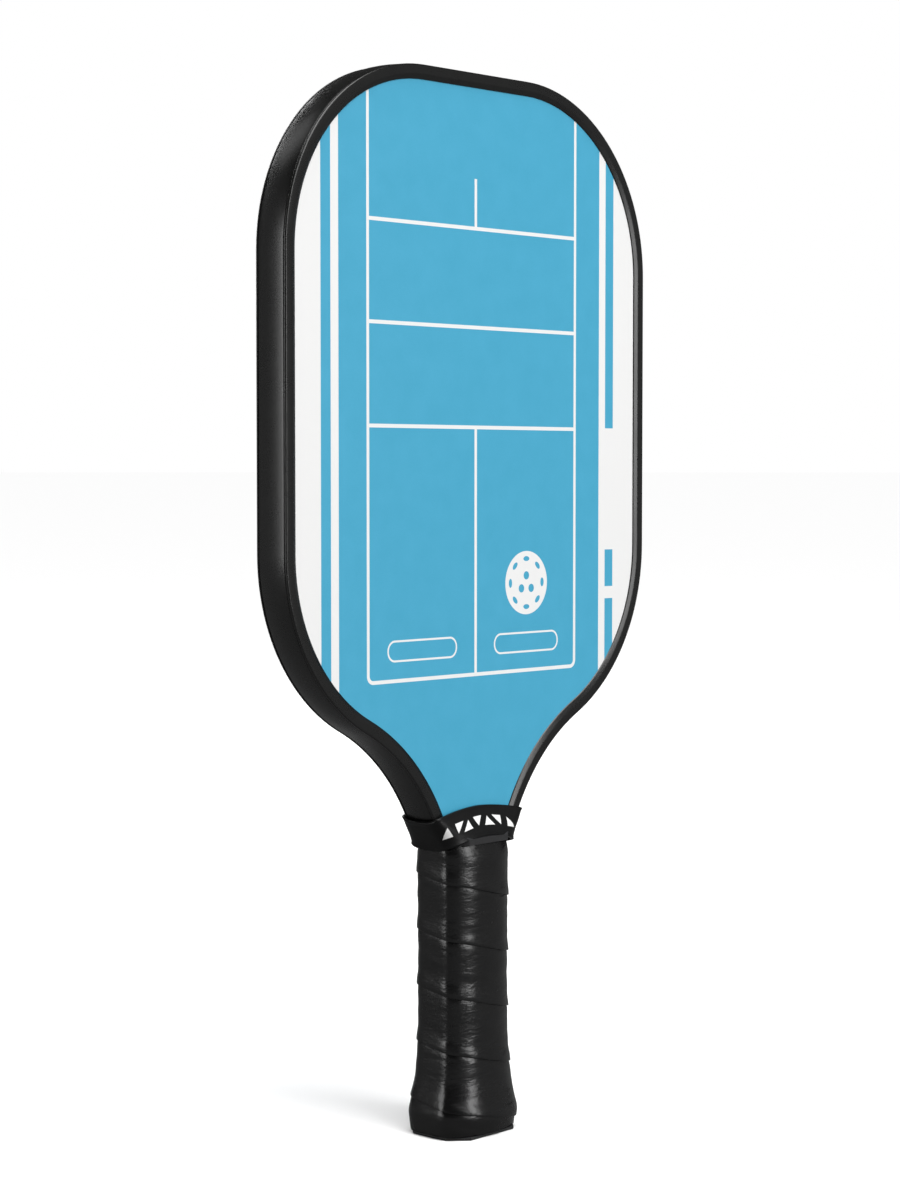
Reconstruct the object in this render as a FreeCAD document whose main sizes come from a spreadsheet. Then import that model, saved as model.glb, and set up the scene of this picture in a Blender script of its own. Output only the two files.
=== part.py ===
"""Pickleball paddle: a honeycomb sandwich panel with a handle built round its tongue.

+Z runs from the butt to the top of the head, the front face looks along -Y, and the origin is
the middle of the butt's flat base. Every length is in millimetres.
"""

import FreeCAD, Part

import math
import os

import Sketcher

V = FreeCAD.Vector

DIMENSIONS = {
    # the outer outline of the edge guard, seen from the front
    "paddle_length": 406.4,
    "blade_width": 203.2,
    "shoulder_radius": 72.3,
    "cheek_radius": 75.0,
    "cheek_height": 225.3,
    "neck_radius": 82.0,
    "neck_height": 85.0,
    # the sandwich, from the middle outwards
    "core_thickness": 11.7,
    "scrim_thickness": 0.15,
    "skin_thickness": 0.5,
    "film_thickness": 0.15,
    "cell_across_flats": 12.0,
    "cell_wall": 0.45,
    "cell_least_area": 12.0,
    # the panel's outline below the blade, where it narrows to the tongue
    "panel_neck_end": 120.5,
    "tongue_shoulder": 115.5,
    "tongue_half_width": 13.0,
    "tongue_end": 12.0,
    "film_end": 121.5,
    # the edge guard, and the bond strip inside it
    "guard_web": 1.4,
    "guard_lip_width": 5.7,
    "guard_lip_thickness": 1.1,
    "guard_edge_radius": 0.8,
    "guard_lip_edge_cut": 0.3,
    "guard_end": 121.0,
    "bond_thickness": 0.2,
    # the two handle halves, an octagon cut down the middle
    "handle_half_width": 15.2,
    "handle_half_depth": 11.2,
    "handle_corner": 5.15,
    "handle_start": 3.4,
    "handle_top": 121.0,
    "bevel_start": 115.5,
    "bevel_end_thickness": 0.6,
    "flange_end": 115.4,
    "tongue_clearance": 0.1,
    # the pegs through the halves and the tongue
    "peg_radius": 2.0,
    "peg_bite": 2.6,
    "peg_collar": 2.4,
    "lower_peg_height": 46.0,
    "upper_peg_height": 88.0,
    # the butt cap: its base flange, its foot, its swell and its skirt
    "base_half_width": 19.2,
    "base_half_depth": 15.6,
    "base_corner": 7.0,
    "foot_half_width": 17.6,
    "foot_half_depth": 13.9,
    "foot_corner": 6.3,
    "swell_height": 9.5,
    "swell_half_width": 18.6,
    "swell_half_depth": 14.6,
    "swell_corner": 6.6,
    "skirt_end": 36.0,
    "skirt_wall": 0.3,
    "base_edge_radius": 0.6,
    "badge_radius": 9.0,
    "badge_thickness": 0.8,
    "badge_recess": 0.2,
    "badge_clearance": 0.1,
    # the two staples that hold the cap's skirt to the halves
    "staple_height": 26.0,
    "staple_crown": 9.0,
    "staple_leg": 4.8,
    "staple_wire": 0.7,
    "staple_depth": 12.37,
    # the grip tape, wound over the cap and the halves
    "tape_thickness": 2.2,
    "grip_start": 1.2,
    "grip_blend_end": 38.0,
    "grip_end": 115.0,
    # the finishing tape over the grip's upper end
    "wrap_thickness": 0.2,
    "wrap_start": 113.0,
    "wrap_bend": 115.2,
    "wrap_end": 118.4,
    "wrap_end_half_width": 18.3,
    "wrap_end_half_depth": 10.0,
    "wrap_end_corner": 3.0,
    # the elastic collar's inner surface, from its lower edge to its upper edge
    "collar_wall": 1.3,
    "collar_slack": 0.25,
    "collar_start": 112.5,
    "collar_bend": 115.4,
    "collar_waist": 121.0,
    "collar_waist_half_width": 23.9,
    "collar_waist_half_depth": 10.6,
    "collar_waist_corner": 3.4,
    "collar_end": 125.5,
    "collar_end_half_width": 26.4,
    "collar_end_half_depth": 7.9,
    "collar_end_corner": 0.9,
}

doc = FreeCAD.newDocument("pickleball_paddle")
sheet = doc.addObject("Spreadsheet::Sheet", "Sizes")
for row, (alias, number) in enumerate(DIMENSIONS.items(), start=1):
    sheet.set(f"A{row}", alias)
    sheet.set(f"B{row}", str(number))
    sheet.setAlias(f"B{row}", alias)
doc.recompute()
size = {alias: float(sheet.get(alias)) for alias in DIMENSIONS}

# Sketcher's numbers for the ends of an edge, the middle of an arc, the origin and the two axes
START, END, CENTRE = 1, 2, 3
ORIGIN = (-1, 1)
ACROSS_AXIS, UP_AXIS = -1, -2

# each layer's inner face, as its distance from the paddle's middle plane
SCRIM_INNER = "Sizes.core_thickness / 2"
SKIN_INNER = f"({SCRIM_INNER} + Sizes.scrim_thickness)"
FILM_INNER = f"({SKIN_INNER} + Sizes.skin_thickness)"
LIP_INNER = f"({FILM_INNER} + Sizes.film_thickness)"
LIP_OUTER = f"({LIP_INNER} + Sizes.guard_lip_thickness)"
PANEL_INSET = "(Sizes.guard_web + Sizes.bond_thickness)"

# growing an octagon by a wall makes each corner cut longer by this share of the wall
CORNER_GROWTH = "(2 - sqrt(2))"

FRONT, BACK = 1, -1


def number(expression):
    """What an expression of the sheet's cells comes to, as a sketch's first guess."""
    return float(sheet.evalExpression(expression))


def new_body(label):
    """A PartDesign body, whose label is its node's name."""
    body = doc.addObject("PartDesign::Body", label)
    body.Label = label
    return body


def new_sketch(body, name, role, lift="0"):
    """A sketch on one of the body's own planes, lifted along the plane's normal."""
    plane = next(item for item in body.Origin.OriginFeatures if item.Role == role)
    sketch = body.newObject("Sketcher::SketchObject", name)
    sketch.AttachmentSupport = [(plane, "")]
    sketch.MapMode = "FlatFace"
    sketch.setExpression("AttachmentOffset.Base.z", lift)
    return sketch


def measure(sketch, kind, places, expression):
    """Adds a distance or a radius whose amount follows the sheet."""
    index = sketch.addConstraint(Sketcher.Constraint(kind, *places, number(expression)))
    sketch.setExpression(f"Constraints[{index}]", expression)


def join(sketch, kind, pairs):
    """Joins ends of edges: Coincident for a corner, Tangent for a smooth run."""
    for first, second in pairs:
        sketch.addConstraint(Sketcher.Constraint(kind, *first, *second))


def arc(centre_x, centre_y, radius, start_angle, end_angle):
    """A counter-clockwise arc, from its angles in radians."""
    circle = Part.Circle(V(centre_x, centre_y), V(0, 0, 1), radius)
    return Part.ArcOfCircle(circle, start_angle, end_angle)


def blade_outline(sketch, inset, cut_height, foot=()):
    """The head's outline, a distance inside the guard's outer edge, closed below cut_height.

    Each half is a rounded shoulder, a straight side, a rounded cheek and a hollow neck, all
    tangent. The foot is a list of corners, from the neck's cut downwards; without one the
    outline is closed straight across at the cut.
    """
    half_width = f"(Sizes.blade_width / 2 - {inset})"
    top = f"(Sizes.paddle_length - {inset})"
    shoulder = f"(Sizes.shoulder_radius - {inset})"
    cheek = f"(Sizes.cheek_radius - {inset})"
    neck = f"(Sizes.neck_radius + {inset})"

    side, crown, cut = number(half_width), number(top), number(cut_height)
    shoulder_r, cheek_r, neck_r = number(shoulder), number(cheek), number(neck)
    cheek_z, neck_z = size["cheek_height"], size["neck_height"]
    rise = cheek_z - neck_z
    reach = math.sqrt((cheek_r + neck_r) ** 2 - rise**2)
    shoulder_x, cheek_x = side - shoulder_r, side - cheek_r
    neck_x = cheek_x + reach
    swing = math.atan2(rise, reach)
    lowest = math.asin((cut - neck_z) / neck_r)
    cut_x = neck_x - neck_r * math.cos(lowest)
    spring = crown - shoulder_r

    top_line = Part.LineSegment(V(shoulder_x, crown), V(-shoulder_x, crown))
    left_shoulder = arc(-shoulder_x, spring, shoulder_r, math.pi / 2, math.pi)
    left_side = Part.LineSegment(V(-side, spring), V(-side, cheek_z))
    left_cheek = arc(-cheek_x, cheek_z, cheek_r, math.pi, math.pi + swing)
    left_neck = arc(-neck_x, neck_z, neck_r, lowest, swing)
    right_neck = arc(neck_x, neck_z, neck_r, math.pi - swing, math.pi - lowest)
    right_cheek = arc(cheek_x, cheek_z, cheek_r, -swing, 0)
    right_side = Part.LineSegment(V(side, cheek_z), V(side, spring))
    right_shoulder = arc(shoulder_x, spring, shoulder_r, 0, math.pi / 2)
    halves = [top_line, left_shoulder, left_side, left_cheek, left_neck]
    halves += [right_neck, right_cheek, right_side, right_shoulder]
    sketch.addGeometry(halves, False)

    join(sketch, "Tangent", [
        ((0, END), (1, START)), ((1, END), (2, START)), ((2, END), (3, START)),
        ((3, END), (4, END)), ((5, START), (6, START)), ((6, END), (7, START)),
        ((7, END), (8, START)), ((8, END), (0, START)),
    ])
    sketch.addConstraint(Sketcher.Constraint("Horizontal", 0))
    sketch.addConstraint(Sketcher.Constraint("Vertical", 2))
    sketch.addConstraint(Sketcher.Constraint("Vertical", 7))
    measure(sketch, "DistanceY", (*ORIGIN, 0, START), top)
    measure(sketch, "DistanceX", (2, START, *ORIGIN), half_width)
    measure(sketch, "DistanceX", (*ORIGIN, 7, START), half_width)
    for left, right, radius in ((1, 8, shoulder), (3, 6, cheek), (4, 5, neck)):
        measure(sketch, "Radius", (left,), radius)
        measure(sketch, "Radius", (right,), radius)
    for edges, height in (((3, 6), "Sizes.cheek_height"), ((4, 5), "Sizes.neck_height")):
        for edge in edges:
            measure(sketch, "DistanceY", (*ORIGIN, edge, CENTRE), height)
    measure(sketch, "DistanceY", (*ORIGIN, 4, START), cut_height)
    measure(sketch, "DistanceY", (*ORIGIN, 5, END), cut_height)

    corners = [(number(across), number(up)) for across, up in foot]
    route = [(-cut_x, cut)] + [(-across, up) for across, up in corners]
    route += [(across, up) for across, up in reversed(corners)] + [(cut_x, cut)]
    first = len(halves)
    for begin, finish in zip(route, route[1:]):
        sketch.addGeometry(Part.LineSegment(V(*begin), V(*finish)), False)
    last = first + len(route) - 2
    join(sketch, "Coincident", [((4, START), (first, START)), ((last, END), (5, END))])
    join(sketch, "Coincident", [((edge, END), (edge + 1, START)) for edge in range(first, last)])
    for step, (across, up) in enumerate(foot):
        left, right = (first + step, END), (last - step, START)
        sketch.addConstraint(Sketcher.Constraint("Symmetric", *left, *right, UP_AXIS))
        measure(sketch, "DistanceX", (*ORIGIN, *right), across)
        measure(sketch, "DistanceY", (*ORIGIN, *right), up)


def round_hole(sketch, height, radius):
    """A circle on the sketch's upright axis."""
    circle = Part.Circle(V(0, number(height)), V(0, 0, 1), number(radius))
    edge = sketch.addGeometry(circle, False)
    sketch.addConstraint(Sketcher.Constraint("PointOnObject", edge, CENTRE, UP_AXIS))
    measure(sketch, "DistanceY", (*ORIGIN, edge, CENTRE), height)
    measure(sketch, "Radius", (edge,), radius)


def panel_outline(sketch):
    """The outline of every layer that runs down into the handle, with the pegs' holes."""
    foot = [
        ("Sizes.tongue_half_width", "Sizes.tongue_shoulder"),
        ("Sizes.tongue_half_width", "Sizes.tongue_end"),
    ]
    blade_outline(sketch, PANEL_INSET, "Sizes.panel_neck_end", foot)
    for height in ("Sizes.lower_peg_height", "Sizes.upper_peg_height"):
        round_hole(sketch, height, "Sizes.peg_radius")


def pad(body, sketch, length, side=FRONT, centred=False):
    """Pads a sketch away from its plane, or to both sides of it."""
    feature = body.newObject("PartDesign::Pad", "pad")
    feature.Profile = sketch
    feature.setExpression("Length", length)
    feature.Reversed = side == BACK
    feature.Midplane = centred
    doc.recompute()
    return feature


def cut_with(body, kind, name):
    """A cutting feature at the end of a body, and the volume that it starts from."""
    before = body.Shape.Volume
    return body.newObject(kind, name), before


def require_cut(body, before):
    """Stops the build if the body's last feature took nothing away."""
    doc.recompute()
    if not body.Shape.Volume < before - 1e-3:
        raise RuntimeError(f"{body.Label}: {body.Tip.Name} cut nothing")


def pocket(body, sketch, length, side=FRONT, centred=False):
    """Cuts a sketch out of the body: inwards from its plane, or to both sides of it."""
    feature, before = cut_with(body, "PartDesign::Pocket", "pocket")
    feature.Profile = sketch
    feature.setExpression("Length", length)
    feature.Reversed = side == BACK
    feature.Midplane = centred
    require_cut(body, before)
    return feature


def cut_box(body, name, corner, extent):
    """Cuts a box out of the body, given its lowest corner and its size along X, Y and Z."""
    box, before = cut_with(body, "PartDesign::SubtractiveBox", name)
    for axis, start in zip("xyz", corner):
        box.setExpression(f"Placement.Base.{axis}", start)
    for side, length in zip(("Length", "Width", "Height"), extent):
        box.setExpression(side, length)
    require_cut(body, before)


def octagon(body, name, height, half_width, half_depth, corner):
    """A level sketch of a rectangle with its four corners cut at 45 degrees."""
    sketch = new_sketch(body, name, "XY_Plane", height)
    wide, deep, cut = number(half_width), number(half_depth), number(corner)
    near_x, near_y = wide - cut, deep - cut
    corners = [
        (near_x, deep), (wide, near_y), (wide, -near_y), (near_x, -deep),
        (-near_x, -deep), (-wide, -near_y), (-wide, near_y), (-near_x, deep),
    ]
    for begin, finish in zip(corners, corners[1:] + corners[:1]):
        sketch.addGeometry(Part.LineSegment(V(*begin), V(*finish)), False)
    join(sketch, "Coincident", [((edge, END), ((edge + 1) % 8, START)) for edge in range(8)])
    for edge, axis in ((1, ACROSS_AXIS), (3, UP_AXIS), (5, ACROSS_AXIS), (7, UP_AXIS)):
        sketch.addConstraint(Sketcher.Constraint("Symmetric", edge, START, edge, END, axis))
    flat_x, flat_y = f"({half_width} - {corner})", f"({half_depth} - {corner})"
    measure(sketch, "DistanceX", (*ORIGIN, 7, END), flat_x)
    measure(sketch, "DistanceY", (*ORIGIN, 7, END), half_depth)
    measure(sketch, "DistanceX", (*ORIGIN, 3, START), flat_x)
    measure(sketch, "DistanceY", (3, START, *ORIGIN), half_depth)
    measure(sketch, "DistanceX", (*ORIGIN, 1, START), half_width)
    measure(sketch, "DistanceY", (*ORIGIN, 1, START), flat_y)
    measure(sketch, "DistanceX", (5, START, *ORIGIN), half_width)
    measure(sketch, "DistanceY", (*ORIGIN, 5, END), flat_y)
    return sketch


def stack(body, kind, name, sections):
    """A ruled loft through octagons: each is a height, half width, half depth and corner."""
    sketches = [octagon(body, f"{name}_{step}", *section) for step, section in enumerate(sections)]
    doc.recompute()
    before = body.Shape.Volume if kind == "PartDesign::SubtractiveLoft" else None
    loft = body.newObject(kind, name)
    loft.Profile = sketches[0]
    loft.Sections = sketches[1:]
    loft.Ruled = True
    doc.recompute()
    if before is not None:
        require_cut(body, before)


def grown(section, wall):
    """An octagon's section with a wall of even thickness added outside it."""
    height, half_width, half_depth, corner = section
    return (
        height,
        f"({half_width} + {wall})",
        f"({half_depth} + {wall})",
        f"({corner} + {wall} * {CORNER_GROWTH})",
    )


def at_height(section, height):
    """The same octagon at another height."""
    return (height, *section[1:])


# ---- the sandwich panel ----


def make_layer(label, side, inner, thickness):
    """One full layer of the panel, on the front or the back, tongue and peg holes included."""
    body = new_body(label)
    sketch = new_sketch(body, f"{label}_outline", "XZ_Plane", f"{side} * {inner}")
    panel_outline(sketch)
    pad(body, sketch, thickness, side)
    return sketch


def make_film(label, side):
    """The printed film on a face: it stops under the collar and runs out under the lip."""
    body = new_body(label)
    sketch = new_sketch(body, f"{label}_outline", "XZ_Plane", f"{side} * {FILM_INNER}")
    blade_outline(sketch, PANEL_INSET, "Sizes.film_end")
    pad(body, sketch, "Sizes.film_thickness", side)


def hexagon(centre, radius):
    """A cell's outline in the middle plane, with a corner at its top and at its bottom."""
    turns = [math.radians(60 * corner + 30) for corner in range(7)]
    return Part.makePolygon([
        centre + V(radius * math.cos(turn), 0, radius * math.sin(turn)) for turn in turns
    ])


def make_core(outline_sketch):
    """The honeycomb: open cells through the panel, cut at the edge and closed by a thin rim.

    The cells are left out round each peg, where the core is filled solid.
    """
    wires = sorted(outline_sketch.Shape.Wires, key=lambda wire: wire.BoundBox.DiagonalLength)
    lift = V(0, outline_sketch.Shape.BoundBox.YMin, 0)
    wires = [wire.translated(-lift) for wire in wires]
    outer, peg_holes = wires[-1], wires[:-1]
    pitch, wall = size["cell_across_flats"], size["cell_wall"]
    radius = (pitch - wall) / math.sqrt(3)
    row_step = pitch * math.sqrt(3) / 2
    rim = outer.makeOffset2D(-wall)
    inside = Part.Face(rim)
    solid_reach = size["peg_radius"] + size["peg_collar"] + radius
    pegs = [V(0, 0, size["lower_peg_height"]), V(0, 0, size["upper_peg_height"])]

    cells, edge_cells = [], []
    columns = math.ceil(size["blade_width"] / 2 / pitch)
    for row in range(math.ceil(size["paddle_length"] / row_step)):
        shift = pitch / 2 * (row % 2)
        for column in range(-columns, columns + 1):
            centre = V(column * pitch + shift, 0, row * row_step)
            if any(centre.distanceToPoint(peg) < solid_reach for peg in pegs):
                continue
            margin = rim.distToShape(Part.Vertex(centre))[0]
            within = inside.isInside(centre, 1e-6, True)
            if within and margin > radius:
                cells.append(hexagon(centre, radius))
            elif margin < radius:
                edge_cells.append(Part.Face(hexagon(centre, radius)))
    clipped = Part.makeCompound(edge_cells).common(inside)
    cells += [face.OuterWire for face in clipped.Faces if face.Area > size["cell_least_area"]]

    web = Part.makeFace([outer] + peg_holes + cells, "Part::FaceMakerBullseye")
    thickness = size["core_thickness"]
    core = doc.addObject("Part::Feature", "honeycomb_core")
    core.Shape = web.translated(V(0, -thickness / 2, 0)).extrude(V(0, thickness, 0))
    core.Label = "honeycomb_core"
    core.Placement = FreeCAD.Placement()


def make_panel():
    """Honeycomb, a scrim and a skin on each of its faces, and the printed films."""
    for name, side in (("front", FRONT), ("back", BACK)):
        outline = make_layer(f"{name}_core_scrim", side, SCRIM_INNER, "Sizes.scrim_thickness")
        make_layer(f"{name}_skin", side, SKIN_INNER, "Sizes.skin_thickness")
        make_film(f"{name}_graphic_film", side)
    make_core(outline)


# ---- the edge guard ----


def rim_edges(shape, inset, level, lowest):
    """Names of the edges that follow the outline at an inset, at a level on either face."""
    top = size["paddle_length"] - number(inset)
    side = size["blade_width"] / 2 - number(inset)
    names = []
    for index, edge in enumerate(shape.Edges, start=1):
        box = edge.BoundBox
        flat = box.YLength < 1e-6 and abs(abs(box.YMin) - level) < 1e-6
        closing = box.ZLength < 1e-6 and box.ZMin < lowest + 1e-6
        within = box.ZMax <= top + 1e-6 and max(abs(box.XMin), abs(box.XMax)) <= side + 1e-6
        if flat and not closing and within:
            names.append(f"Edge{index}")
    return names


def round_edges(body, base, names, radius):
    """Rounds named edges of a feature."""
    fillet = body.newObject("PartDesign::Fillet", "rounding")
    fillet.Base = (base, names)
    fillet.setExpression("Radius", radius)
    doc.recompute()
    return fillet


def make_edge_guard():
    """The moulded channel that clips over the panel's edge, open where the collar covers it.

    It is moulded past its ends, and then cut off square.
    """
    body = new_body("edge_guard")
    spare = "2 * Sizes.guard_lip_width"
    moulded_end = f"(Sizes.guard_end - {spare})"
    window_end = f"({moulded_end} - {spare})"
    outer = new_sketch(body, "guard_outer", "XZ_Plane")
    blade_outline(outer, "0", moulded_end)
    block = pad(body, outer, f"2 * {LIP_OUTER}", centred=True)
    face, lowest = number(LIP_OUTER), number(moulded_end)
    names = rim_edges(block.Shape, "0", face, lowest)
    round_edges(body, block, names, "Sizes.guard_edge_radius")

    window = new_sketch(body, "guard_window", "XZ_Plane")
    blade_outline(window, "Sizes.guard_lip_width", window_end)
    opened = pocket(body, window, f"4 * {LIP_OUTER}", centred=True)
    names = rim_edges(opened.Shape, "Sizes.guard_lip_width", face, lowest)
    bevel = body.newObject("PartDesign::Chamfer", "lip_bevel")
    bevel.Base = (opened, names)
    bevel.setExpression("Size", "Sizes.guard_lip_edge_cut")
    doc.recompute()

    channel = new_sketch(body, "guard_channel", "XZ_Plane")
    blade_outline(channel, "Sizes.guard_web", window_end)
    pocket(body, channel, f"2 * {LIP_INNER}", centred=True)
    cut_box(
        body, "guard_trim",
        ("-Sizes.blade_width / 2", f"-{LIP_OUTER}", f"{moulded_end} - {spare}"),
        ("Sizes.blade_width", f"2 * {LIP_OUTER}", f"2 * {spare}"),
    )


def make_bond_strip():
    """The double-sided strip between the guard's web and the panel's edge."""
    body = new_body("guard_bond_strip")
    outer = new_sketch(body, "bond_outer", "XZ_Plane")
    blade_outline(outer, "Sizes.guard_web", "Sizes.guard_end")
    pad(body, outer, f"2 * {FILM_INNER}", centred=True)
    inner = new_sketch(body, "bond_inner", "XZ_Plane")
    blade_outline(inner, PANEL_INSET, "(Sizes.guard_end - 2 * Sizes.guard_lip_width)")
    pocket(body, inner, f"4 * {FILM_INNER}", centred=True)


# ---- the handle ----

HANDLE = ("Sizes.handle_half_width", "Sizes.handle_half_depth", "Sizes.handle_corner")


def half_octagon(body, side):
    """One half of the handle's section, from the middle plane out to the face."""
    sketch = new_sketch(body, f"{body.Label}_section", "XY_Plane", "Sizes.handle_start")
    wide, deep, cut = (number(term) for term in HANDLE)
    near_x, near_y = wide - cut, deep - cut
    corners = [(wide, 0), (wide, near_y), (near_x, deep), (-near_x, deep), (-wide, near_y)]
    corners.append((-wide, 0))
    points = [V(across, -side * away) for across, away in corners]
    for begin, finish in zip(points, points[1:] + points[:1]):
        sketch.addGeometry(Part.LineSegment(begin, finish), False)
    join(sketch, "Coincident", [((edge, END), ((edge + 1) % 6, START)) for edge in range(6)])
    half_width, half_depth, corner = HANDLE
    runs = [
        ((0, START), half_width, "0"),
        ((1, START), half_width, f"({half_depth} - {corner})"),
        ((2, START), f"({half_width} - {corner})", half_depth),
    ]
    mirror = [(5, START), (4, START), (3, START)]
    for (right, across, away), left in zip(runs, mirror):
        sketch.addConstraint(Sketcher.Constraint("Symmetric", *left, *right, UP_AXIS))
        measure(sketch, "DistanceX", (*ORIGIN, *right), across)
        if away == "0":
            sketch.addConstraint(Sketcher.Constraint("PointOnObject", *right, ACROSS_AXIS))
        elif side == FRONT:
            measure(sketch, "DistanceY", (*right, *ORIGIN), away)
        else:
            measure(sketch, "DistanceY", (*ORIGIN, *right), away)
    return sketch


def make_handle_half(label, side):
    """A wooden half: slotted for the tongue, bored for the pegs, bevelled at its top."""
    body = new_body(f"{label}_blank")
    pad(body, half_octagon(body, side), "(Sizes.handle_top - Sizes.handle_start)")

    slot_half = "(Sizes.tongue_half_width + Sizes.tongue_clearance)"
    slot_floor = "(Sizes.tongue_end - Sizes.tongue_clearance)"
    cut_box(
        body, f"{label}_slot",
        (f"-{slot_half}", f"-{FILM_INNER}", slot_floor),
        (f"2 * {slot_half}", f"2 * {FILM_INNER}", "Sizes.handle_top"),
    )
    cut_box(
        body, f"{label}_open_top",
        (f"-2 * {HANDLE[0]}", f"-{FILM_INNER}", "Sizes.flange_end"),
        (f"4 * {HANDLE[0]}", f"2 * {FILM_INNER}", "Sizes.handle_top"),
    )

    bevel = new_sketch(body, f"{label}_bevel", "YZ_Plane")
    deep, start, top = size["handle_half_depth"], size["bevel_start"], size["handle_top"]
    thin = number(f"{FILM_INNER} + Sizes.bevel_end_thickness")
    corners = [V(-side * deep, start), V(-side * thin, top), V(-side * deep, top)]
    for begin, finish in zip(corners, corners[1:] + corners[:1]):
        bevel.addGeometry(Part.LineSegment(begin, finish), False)
    join(bevel, "Coincident", [((edge, END), ((edge + 1) % 3, START)) for edge in range(3)])
    away = {
        (0, START): (HANDLE[1], "Sizes.bevel_start"),
        (1, START): (f"({FILM_INNER} + Sizes.bevel_end_thickness)", "Sizes.handle_top"),
        (2, START): (HANDLE[1], "Sizes.handle_top"),
    }
    for corner, (across, up) in away.items():
        places = (*corner, *ORIGIN) if side == FRONT else (*ORIGIN, *corner)
        measure(bevel, "DistanceX", places, across)
        measure(bevel, "DistanceY", (*ORIGIN, *corner), up)
    pocket(body, bevel, f"4 * {HANDLE[0]}", centred=True)

    bores = new_sketch(body, f"{label}_bores", "XZ_Plane")
    for height in ("Sizes.lower_peg_height", "Sizes.upper_peg_height"):
        round_hole(bores, height, "Sizes.peg_radius")
    pocket(body, bores, f"2 * ({FILM_INNER} + Sizes.peg_bite)", centred=True)
    return body


def peg(name, height):
    """A plain wooden peg across the handle, through the tongue and into both halves."""
    length = f"2 * ({FILM_INNER} + Sizes.peg_bite)"
    cylinder = doc.addObject("Part::Cylinder", name)
    cylinder.setExpression("Radius", "Sizes.peg_radius")
    cylinder.setExpression("Height", length)
    cylinder.Placement = FreeCAD.Placement(V(0, 0, 0), FreeCAD.Rotation(V(1, 0, 0), 90))
    cylinder.setExpression("Placement.Base.y", f"{length} / 2")
    cylinder.setExpression("Placement.Base.z", height)
    return cylinder


def make_pegs():
    """Both pegs, as one group of identical pieces."""
    group = doc.addObject("Part::Compound", "handle_pegs")
    group.Label = "handle_pegs"
    group.Links = [
        peg("lower_peg", "Sizes.lower_peg_height"),
        peg("upper_peg", "Sizes.upper_peg_height"),
    ]


# ---- the butt cap, its badge and its staples ----

FLANGE = ("0", "Sizes.base_half_width", "Sizes.base_half_depth", "Sizes.base_corner")
FOOT = ("Sizes.grip_start", "Sizes.foot_half_width", "Sizes.foot_half_depth", "Sizes.foot_corner")
SWELL = (
    "Sizes.swell_height", "Sizes.swell_half_width", "Sizes.swell_half_depth", "Sizes.swell_corner",
)
SKIRT = grown(("Sizes.skirt_end", *HANDLE), "Sizes.skirt_wall")


def make_butt_cap():
    """The flared cap: a flat base flange, a swell under the tape and a skirt over the halves."""
    body = new_body("butt_cap_blank")
    base = octagon(body, "cap_base", *FLANGE)
    flange = pad(body, base, "Sizes.grip_start")
    names = [
        f"Edge{index}" for index, edge in enumerate(flange.Shape.Edges, start=1)
        if edge.BoundBox.ZMax < 1e-6
    ]
    round_edges(body, flange, names, "Sizes.base_edge_radius")
    stack(body, "PartDesign::AdditiveLoft", "cap_swell", [FOOT, SWELL, SKIRT])
    hollow = octagon(body, "cap_hollow", "Sizes.handle_start", *HANDLE)
    pocket(body, hollow, "Sizes.skirt_end", BACK)

    seat = new_sketch(body, "badge_seat", "XY_Plane")
    circle = seat.addGeometry(Part.Circle(V(0, 0), V(0, 0, 1), 1), False)
    seat.addConstraint(Sketcher.Constraint("Coincident", circle, CENTRE, *ORIGIN))
    measure(seat, "Radius", (circle,), "(Sizes.badge_radius + Sizes.badge_clearance)")
    pocket(body, seat, "(Sizes.badge_recess + Sizes.badge_thickness)", BACK)
    return body


def make_badge():
    """The bare disc let into the base of the cap."""
    disc = doc.addObject("Part::Cylinder", "butt_badge")
    disc.Label = "butt_badge"
    disc.setExpression("Radius", "Sizes.badge_radius")
    disc.setExpression("Height", "Sizes.badge_thickness")
    disc.setExpression("Placement.Base.z", "Sizes.badge_recess")


def wire_box(name, centre, extent):
    """A square-cut length of staple wire, given its middle and its size."""
    box = doc.addObject("Part::Box", name)
    for axis, side, middle, length in zip("xyz", ("Length", "Width", "Height"), centre, extent):
        box.setExpression(side, length)
        box.setExpression(f"Placement.Base.{axis}", f"{middle} - ({length}) / 2")
    return box


def make_staple(name, side):
    """A crown across the skirt and two legs into the handle half behind it."""
    wire, crown, leg = "Sizes.staple_wire", "Sizes.staple_crown", "Sizes.staple_leg"
    crown_y = f"-{side} * (Sizes.staple_depth - {wire} / 2)"
    leg_y = f"-{side} * (Sizes.staple_depth - {leg} / 2)"
    pieces = [wire_box(f"{name}_crown", ("0", crown_y, "Sizes.staple_height"), (crown, wire, wire))]
    for hand, turn in (("left", -1), ("right", 1)):
        leg_x = f"{turn} * ({crown} - {wire}) / 2"
        middle = (leg_x, leg_y, "Sizes.staple_height")
        pieces.append(wire_box(f"{name}_{hand}_leg", middle, (wire, leg, wire)))
    staple = doc.addObject("Part::MultiFuse", name)
    staple.Shapes = pieces
    staple.Refine = True
    return staple


def make_staple_slot(name, side):
    """The slot that a crown is driven through, from its seat to outside the skirt."""
    wire = "Sizes.staple_wire"
    deep = "(Sizes.swell_half_depth - Sizes.staple_depth)"
    middle_y = f"-{side} * (Sizes.staple_depth + {deep} / 2)"
    middle = ("0", middle_y, "Sizes.staple_height")
    return wire_box(name, middle, ("Sizes.staple_crown", deep, wire))


def cut_by(label, blank, tools):
    """A finished sub-part: its blank with other shapes taken out of it."""
    group = doc.addObject("Part::Compound", f"{label}_tools")
    group.Links = tools
    cut = doc.addObject("Part::Cut", label)
    cut.Label = label
    cut.Base = blank
    cut.Tool = group
    doc.recompute()
    if not cut.Shape.Volume < blank.Shape.Volume - 1e-3:
        raise RuntimeError(f"{label}: the staples cut nothing")


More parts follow.
